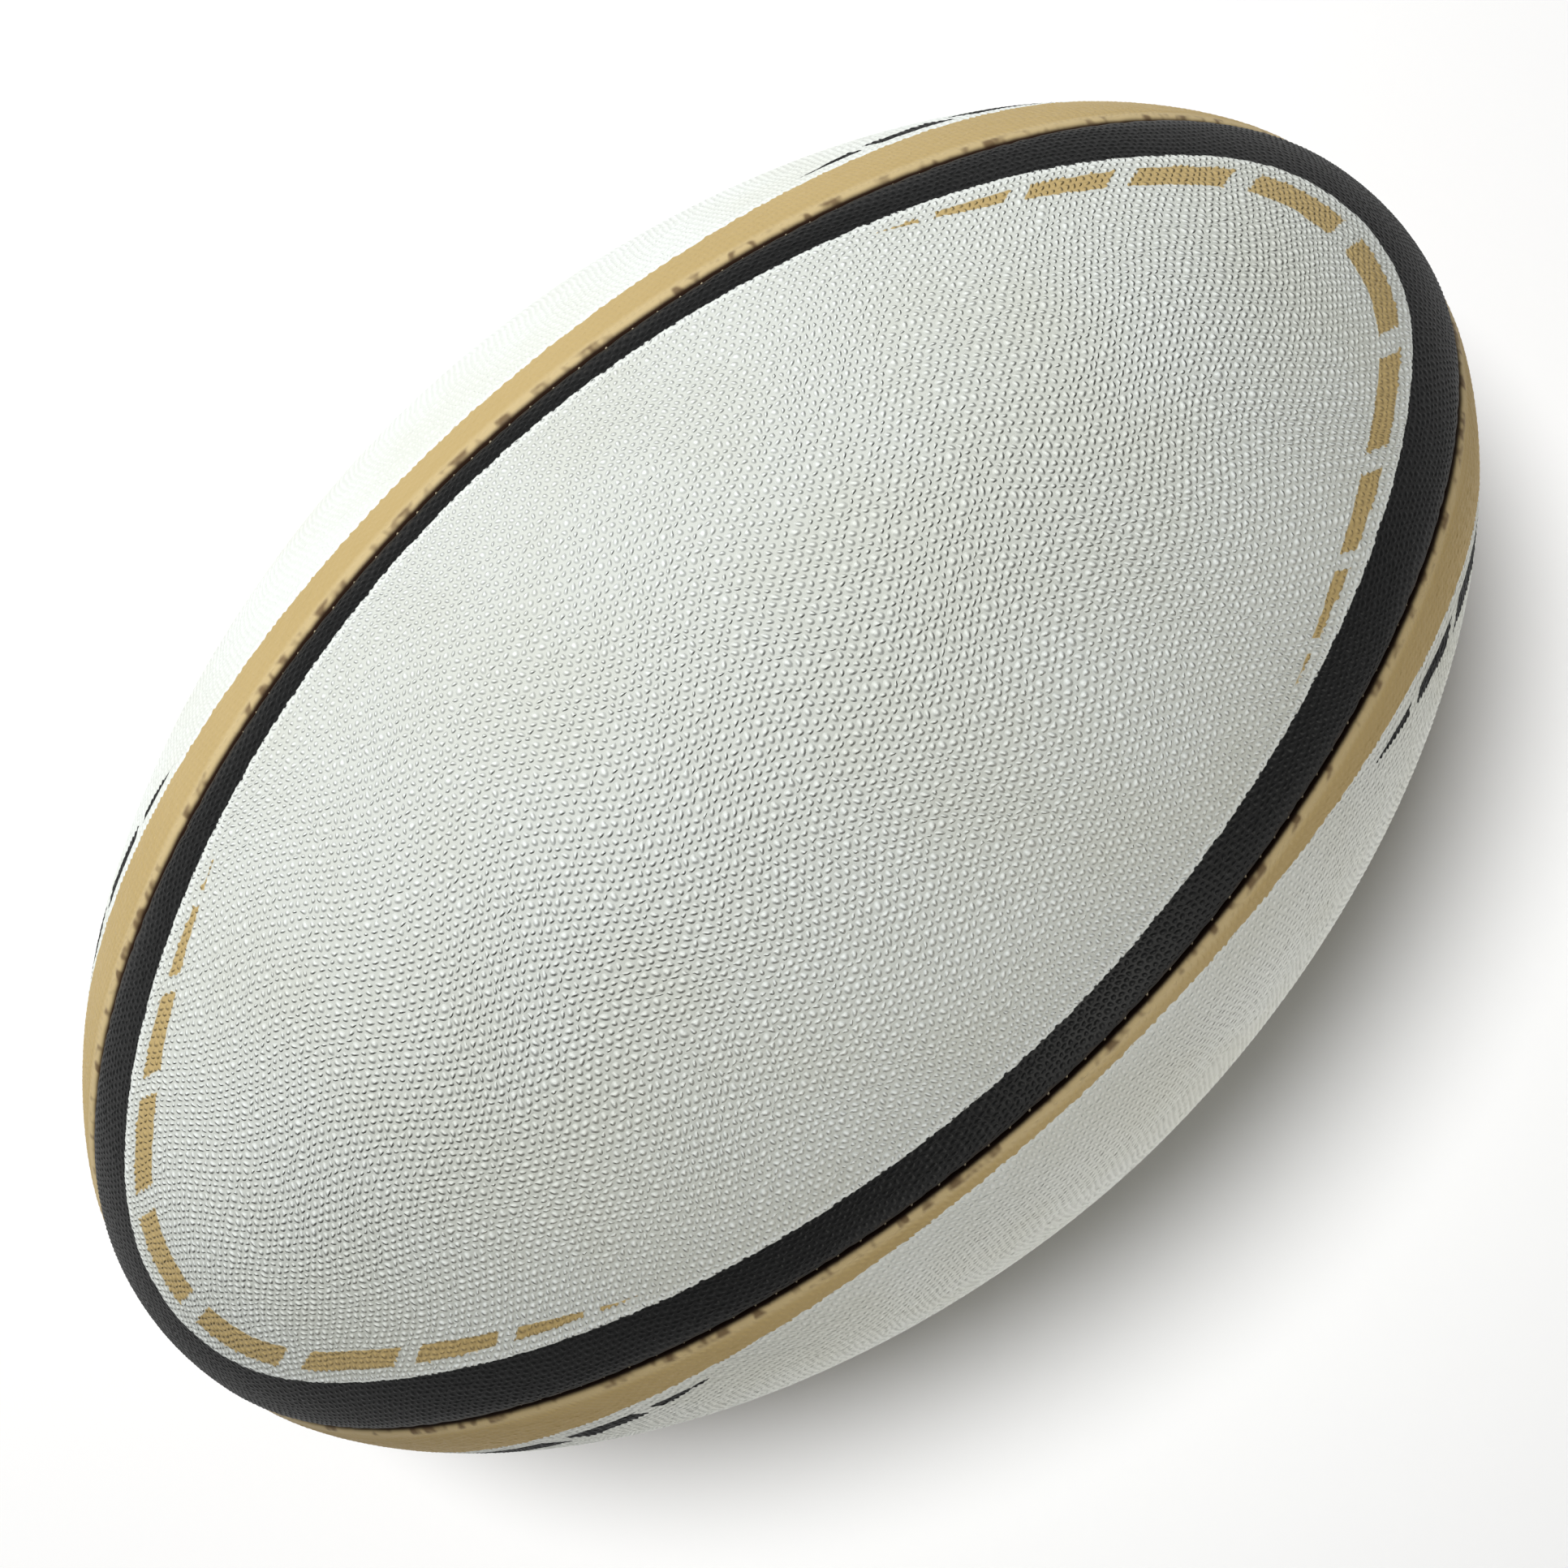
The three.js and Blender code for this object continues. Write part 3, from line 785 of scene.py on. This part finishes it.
# Dashes round the ends of the field, widest at the tip, cut along lines that fan out from the centre
def dashMask(parts):
    tree, field = parts["tree"], parts["field"]
    turn = calc(tree, "ARCTAN2", parts["across"], calc(tree, "SUBTRACT", parts["end"], dashes["centre"]))
    count = calc(tree, "MULTIPLY", turn, parts["settings"]["dashesPerRadian"])
    beat = calc(tree, "FRACT", calc(tree, "ADD", count, dashes["firstCount"]))
    middle = calc(tree, "ABSOLUTE", calc(tree, "SUBTRACT", beat, 0.5))
    fromGap = calc(tree, "SUBTRACT", 0.5 - dashes["gap"] / 2, middle)
    share = calc(tree, "DIVIDE", turn, dashes["spread"])
    taper = calc(tree, "SUBTRACT", 1.0, calc(tree, "MULTIPLY", share, share))
    depth = calc(tree, "SUBTRACT", field, dashes["edge"])
    fromInside = calc(tree, "SUBTRACT", calc(tree, "MULTIPLY", taper, dashes["thickness"]), depth)
    within = calc(tree, "MINIMUM", depth, fromInside)
    fromEnds = calc(tree, "MULTIPLY", fromGap, dashes["gapSharpness"])
    return ink(parts, calc(tree, "MINIMUM", within, fromEnds), dashes["serration"])


def goldInk(parts):
    tree = parts["tree"]
    color = blendColor(tree, parts["mottle"]["Patches"], finish["gold"], finish["goldPale"])
    # painted highlight: the gold turns lighter near the seam
    wearAndPaintedHighlight = rise(tree, parts["seam"], *goldSeamHighlight["seam"])
    return blendColor(tree, calc(tree, "MULTIPLY", wearAndPaintedHighlight, goldSeamHighlight["share"]), color, finish["goldPaintedHighlight"])


def blackInk(parts):
    tree = parts["tree"]
    rubbed = rise(tree, parts["mottle"]["Grain"], *blackWear)
    # ink rubbed thin on the pimple tops, which is wear only
    wearAndPaintedHighlight = calc(tree, "MULTIPLY", parts["grip"]["Dome"], rubbed)
    return blendColor(tree, wearAndPaintedHighlight, finish["black"], finish["blackWorn"])


# Rubber with a margin and dashes printed on it, painted shade in streaks along the seams, and painted shade
# down in their fold
def makePrintedMaterial(name, settings, marginInk, dashInk):
    parts = startPanel(name, settings)
    tree, shader, field, grip = parts["tree"], parts["shader"], parts["field"], parts["grip"]
    margin = ink(parts, calc(tree, "MULTIPLY", field, -1.0), settings["serration"])
    dash = dashMask(parts)
    # painted highlight: next to the margin the white loses its painted valley shade and warm patches
    paintedBrightRim = calc(tree, "MULTIPLY", rise(tree, field, *plainField["paintedBrightRim"]), plainField["paintedBrightRimShare"])
    color = blendColor(tree, paintedBrightRim, parts["white"], finish["white"])
    color = blendColor(tree, dash, color, dashInk(parts))
    color = blendColor(tree, margin, color, marginInk(parts))

    # painted shade in streaks along the seams' edges
    places = (parts["along"], parts["seam"], parts["across"])
    streakPlace = join(tree, *(calc(tree, "MULTIPLY", place, share)
                               for place, share in zip(places, paintedSeamShadeStreaks["stretch"])))
    streaks = rise(tree, noise(tree, streakPlace, **paintedSeamShadeStreaks["noise"]), *paintedSeamShadeStreaks["levels"])
    paintedSeamShade = calc(tree, "MULTIPLY", streaks, rise(tree, parts["seam"], *paintedSeamShadeStreaks["seam"]))
    paintedSeamShade = calc(tree, "MULTIPLY", paintedSeamShade, paintedSeamShadeStreaks["share"])
    color = blendColor(tree, paintedSeamShade, color, settings["paintedSeamShade"])
    # painted shade down in the seams' fold
    color = blendColor(tree, rise(tree, parts["foldPaintedShade"], *foldShade), color, finish["foldPaintedShade"])
    tree.links.new(color, shader.inputs["Base Color"])

    inked = calc(tree, "MAXIMUM", margin, dash)
    grain = parts["mottle"]["Grain"]
    gloss = calc(tree, "MULTIPLY", inked, surface["inkedGloss"])
    roughness = calc(tree, "SUBTRACT", surface["roughness"], gloss)
    roughness = calc(tree, "ADD", roughness, calc(tree, "MULTIPLY", grain, surface["grainRoughness"]))
    tree.links.new(roughness, shader.inputs["Roughness"])
    shader.inputs["Specular IOR Level"].default_value = surface["specular"]
    filled = calc(tree, "MULTIPLY", margin, surface["inkFilling"] * settings["relief"])
    leftOver = calc(tree, "SUBTRACT", settings["relief"], filled)
    relief = calc(tree, "MULTIPLY", grip["Dome"], leftOver)
    relief = calc(tree, "ADD", relief, calc(tree, "MULTIPLY", grain, surface["grainRelief"]))
    bump(tree, shader, relief, surface["reliefHeight"])
    return parts["material"]


topMaterial = makePrintedMaterial("pimpledRubberBlackMargin", topPrint, blackInk, goldInk)
sideMaterial = makePrintedMaterial("pimpledRubberGoldMargin", sidePrint, goldInk, blackInk)
for name, piece in panels.items():
    piece.data.materials.append(topMaterial if name in ("Top", "Bottom") else sideMaterial)
print("panel materials made")

threadLook = {
    "fibre": ((0.42, 0.34, 0.2, 1), (0.7, 0.62, 0.44, 1)),
    "wax": (0.3, 0.2, 0.1, 1),
    "waxShare": 0.4,
    "stretch": (0.8, 6.0),      # of the fibres, along the thread and round it
    "noise": {"scale": 2.0, "detail": 3, "roughness": 0.6},
    "roughness": (0.4, 0.25),   # least, and what the fibres add
    "sheen": 0.15,
    "relief": 0.05 * mm,
}


# Waxed thread: fibres along the twist, with patches of wax
def makeThreadMaterial():
    material, tree, shader = newMaterial("waxedThread")
    along, turn, _ = split(tree, attribute(tree, "strand"))
    alongShare, turnShare = threadLook["stretch"]
    fibrePlace = join(tree, calc(tree, "MULTIPLY", along, alongShare),
                      calc(tree, "MULTIPLY", turn, turnShare), 0.0)
    fibres = noise(tree, fibrePlace, **threadLook["noise"])
    patches = useGroup(tree, mottleGroup, Place=objectPlace(tree))["Patches"]
    color = blendColor(tree, fibres, *threadLook["fibre"])
    waxed = calc(tree, "MULTIPLY", patches, threadLook["waxShare"])
    color = blendColor(tree, waxed, color, threadLook["wax"])
    tree.links.new(color, shader.inputs["Base Color"])
    least, added = threadLook["roughness"]
    roughness = calc(tree, "ADD", calc(tree, "MULTIPLY", fibres, added), least)
    tree.links.new(roughness, shader.inputs["Roughness"])
    shader.inputs["Sheen Weight"].default_value = threadLook["sheen"]
    bump(tree, shader, fibres, threadLook["relief"])
    return material


cloth = {
    "weave": 4200.0,            # radians of the weave's waves in a metre
    "thread": ((0.5, 0.44, 0.33, 1), (0.72, 0.66, 0.53, 1)),
    "glue": (0.55, 0.42, 0.2, 1),
    "gluePatches": (0.5, 0.68),
    "glueShare": 0.45,
    "patchScale": 55.0,
    "roughness": 0.92,
    "glueGloss": 0.35,          # less rough by this where glued
    "grainRelief": 0.4,
    "relief": 0.12 * mm,
}


# Plain-woven backing cloth, stiff with glue. Its threads run along the ball and round it.
def makeClothMaterial():
    material, tree, shader = newMaterial("backingCloth")
    x, y, z = split(tree, objectPlace(tree))
    roundBall = calc(tree, "MULTIPLY", calc(tree, "ARCTAN2", y, z), halfWidth)
    lengthwise = calc(tree, "SINE", calc(tree, "MULTIPLY", x, cloth["weave"]))
    crosswise = calc(tree, "SINE", calc(tree, "MULTIPLY", roundBall, cloth["weave"]))
    over = calc(tree, "MULTIPLY", lengthwise, crosswise)
    weave = calc(tree, "ADD", calc(tree, "MULTIPLY", over, 0.5), 0.5)
    mottle = useGroup(tree, mottleGroup, Place=objectPlace(tree), **{"Patch Scale": cloth["patchScale"]})
    color = blendColor(tree, weave, *cloth["thread"])
    glue = rise(tree, mottle["Patches"], *cloth["gluePatches"])
    color = blendColor(tree, calc(tree, "MULTIPLY", glue, cloth["glueShare"]), color, cloth["glue"])
    tree.links.new(color, shader.inputs["Base Color"])
    gloss = calc(tree, "MULTIPLY", glue, cloth["glueGloss"])
    tree.links.new(calc(tree, "SUBTRACT", cloth["roughness"], gloss), shader.inputs["Roughness"])
    relief = calc(tree, "ADD", weave, calc(tree, "MULTIPLY", mottle["Grain"], cloth["grainRelief"]))
    bump(tree, shader, relief, cloth["relief"])
    return material


bladderLook = {"dust": 0.6, "roughness": 0.45, "tone": 0.022}
valveLook = {"dust": 0.12, "roughness": 0.38, "tone": 0.013}
blackRubber = {
    "blueness": 1.08,           # blue, of the red and green
    "talc": (0.3, 0.29, 0.27, 1),
    "talcPatches": (0.42, 0.75),
    "patchScale": 90.0,
    "grainRoughness": 0.16,
    "talcRoughness": 0.4,
    "relief": 0.04 * mm,
}


# Black rubber: dusted with talc on the bladder, cleaner and a little glossy on the valve
def makeBlackRubber(name, dust, roughness, tone):
    material, tree, shader = newMaterial(name)
    patchScale = {"Patch Scale": blackRubber["patchScale"]}
    mottle = useGroup(tree, mottleGroup, Place=objectPlace(tree), **patchScale)
    patches = rise(tree, mottle["Patches"], *blackRubber["talcPatches"])
    powder = calc(tree, "MULTIPLY", patches, dust)
    black = (tone, tone, tone * blackRubber["blueness"], 1)
    color = blendColor(tree, powder, black, blackRubber["talc"])
    tree.links.new(color, shader.inputs["Base Color"])
    rough = calc(tree, "ADD", calc(tree, "MULTIPLY", mottle["Grain"], blackRubber["grainRoughness"]),
                 calc(tree, "MULTIPLY", powder, blackRubber["talcRoughness"]))
    tree.links.new(calc(tree, "ADD", rough, roughness), shader.inputs["Roughness"])
    relief = calc(tree, "ADD", mottle["Grain"], mottle["Patches"])
    bump(tree, shader, relief, blackRubber["relief"])
    return material


threadMaterial = makeThreadMaterial()
for piece in threads:
    piece.data.materials.append(threadMaterial)
slotMaterials = {
    "backing_cloth": makeClothMaterial(),
    "bladder_rubber": makeBlackRubber("bladderRubber", **bladderLook),
    "valve_rubber": makeBlackRubber("valveRubber", **valveLook),
    "waxed_thread": threadMaterial,
    "panel_rubber": sideMaterial,
}
valveCollar.data.materials.append(slotMaterials["valve_rubber"])
valveCore.data.materials.append(slotMaterials["valve_rubber"])
for part in frame["record"]["subparts"]:
    mesh = nodes[part["node"]].data
    mesh.materials.clear()
    mesh.materials.append(slotMaterials[part["material_slot"]])
print("all materials made")

# A plain pale floor that keeps the ball's shadow, under soft studio light
studio = {
    "floorSize": 3.0,
    "floorColor": (0.97, 0.97, 0.97, 1),
    "farFloor": (0.32, 0.85),  # metres from the ball, where the floor fades to plain white
    "floorRoughness": 0.9,
    "skyLevel": 0.1,
    "skyColor": (1.0, 0.985, 0.93, 1),
}
# The key stands behind the ball and above it, and the low lamp lifts the front. The floor has a
# lamp of its own, nearer overhead, so that the ball's shadow stays close to it.
lamps = {
    "key": {"onFloor": False, "place": (-0.04, 0.64, 0.96), "size": 0.45, "power": 14.2,
            "color": (0.975, 1.0, 1.0)},
    "low": {"onFloor": False, "place": (0.15, -1.2, 0.05), "size": 0.4, "power": 7.1,
            "color": (1.0, 0.985, 0.93)},
    "overhead": {"onFloor": True, "place": (-0.04, 0.345, 1.09), "size": 0.4, "power": 15.5,
                 "color": (1.0, 1.0, 1.0)},
}


# A share that is 1 for what the camera, a reflection or clear glass sees, and 0 for light itself
def seenDirectly(tree):
    path = tree.nodes.new("ShaderNodeLightPath")
    seen = calc(tree, "ADD", path.outputs["Is Camera Ray"], path.outputs["Is Glossy Ray"], clamp=True)
    return calc(tree, "ADD", seen, path.outputs["Is Transmission Ray"], clamp=True)


def makeStudio():
    bm = bmesh.new()
    bmesh.ops.create_grid(bm, x_segments=8, y_segments=8, size=studio["floorSize"])
    bmesh.ops.translate(bm, vec=(0, 0, lowestPoint), verts=bm.verts[:])
    mesh = bpy.data.meshes.new("floor")
    bm.to_mesh(mesh)
    bm.free()
    floor = addObject("floor", mesh)
    material, tree, shader = newMaterial("paleFloor")
    shader.inputs["Base Color"].default_value = studio["floorColor"]
    shader.inputs["Roughness"].default_value = studio["floorRoughness"]
    shader.inputs["Specular IOR Level"].default_value = 0
    shader.inputs["Emission Color"].default_value = (1, 1, 1, 1)
    x, y, _ = split(tree, objectPlace(tree))
    away = calc(tree, "SQRT", calc(tree, "ADD", calc(tree, "MULTIPLY", x, x), calc(tree, "MULTIPLY", y, y)))
    glow = calc(tree, "MULTIPLY", seenDirectly(tree), rise(tree, away, *studio["farFloor"]))
    tree.links.new(glow, shader.inputs["Emission Strength"])
    mesh.materials.append(material)

    world = bpy.data.worlds.new("studio")
    scene.world = world
    world.use_nodes = True
    tree = world.node_tree
    background = tree.nodes["Background"]
    seen = seenDirectly(tree)
    color = blendColor(tree, seen, studio["skyColor"], (1, 1, 1, 1))
    tree.links.new(color, background.inputs["Color"])
    level = calc(tree, "ADD", calc(tree, "MULTIPLY", seen, 1 - studio["skyLevel"]), studio["skyLevel"])
    tree.links.new(level, background.inputs["Strength"])

    receivers = {
        True: bpy.data.collections.new("floorOnly"),
        False: bpy.data.collections.new("allButFloor"),
    }
    for onFloor, collection in receivers.items():
        collection.objects.link(floor)
        collection.collection_objects[0].light_linking.link_state = "INCLUDE" if onFloor else "EXCLUDE"
    for name, settings in lamps.items():
        light = bpy.data.lights.new(name, "AREA")
        light.shape = "DISK"
        light.size = settings["size"]
        light.energy = settings["power"]
        light.color = settings["color"]
        lamp = bpy.data.objects.new(name, light)
        lamp.location = settings["place"]
        lamp.rotation_euler = Vector(settings["place"]).to_track_quat("Z", "Y").to_euler()
        lamp.light_linking.receiver_collection = receivers[settings["onFloor"]]
        scene.collection.objects.link(lamp)


makeStudio()
scene.view_settings.view_transform = "Standard"
print("studio made")

bpy.context.view_layer.update()
